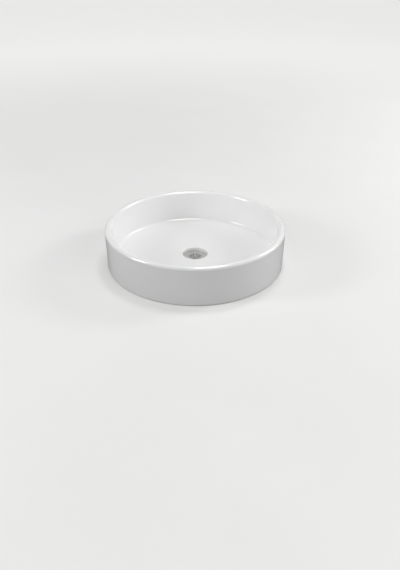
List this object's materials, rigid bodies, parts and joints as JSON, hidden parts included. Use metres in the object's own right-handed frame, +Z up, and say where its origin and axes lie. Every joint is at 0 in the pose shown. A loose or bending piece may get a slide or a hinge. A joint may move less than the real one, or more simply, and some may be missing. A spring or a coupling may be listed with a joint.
{
  "type": "countertop washbasin",
  "caption": "Low round glazed ceramic washbasin that stands on a counter, with a never-closing strainer waste sunk in its floor outlet and clamped from below.",
  "frame": {"origin": "centre of the foot ring, on the plane of the counter, on the axis of the outlet", "axes": "+Z up along the bowl's axis, out of the open rim; the bowl is round, so X and Y have no front"},
  "size_m": [0.4596, 0.4596, 0.174],
  "materials": {
    "white_glaze": "glossy white glaze, unglazed foot ring",
    "plated_brass": "satin nickel plating on cast brass",
    "stainless_steel": "satin stainless steel",
    "screw_steel": "turned stainless steel",
    "seal_rubber": "matt black rubber",
    "washer_plastic": "moulded white plastic",
    "nut_brass": "plain machined brass"
  },
  "bodies": {
    "root": {"basin_bowl": "white_glaze", "waste_body": "plated_brass", "strainer_grid": "stainless_steel", "strainer_screw": "screw_steel", "flange_gasket": "seal_rubber", "lower_gasket": "seal_rubber", "slip_washer": "washer_plastic", "back_nut": "nut_brass"}
  },
  "joints": []
}
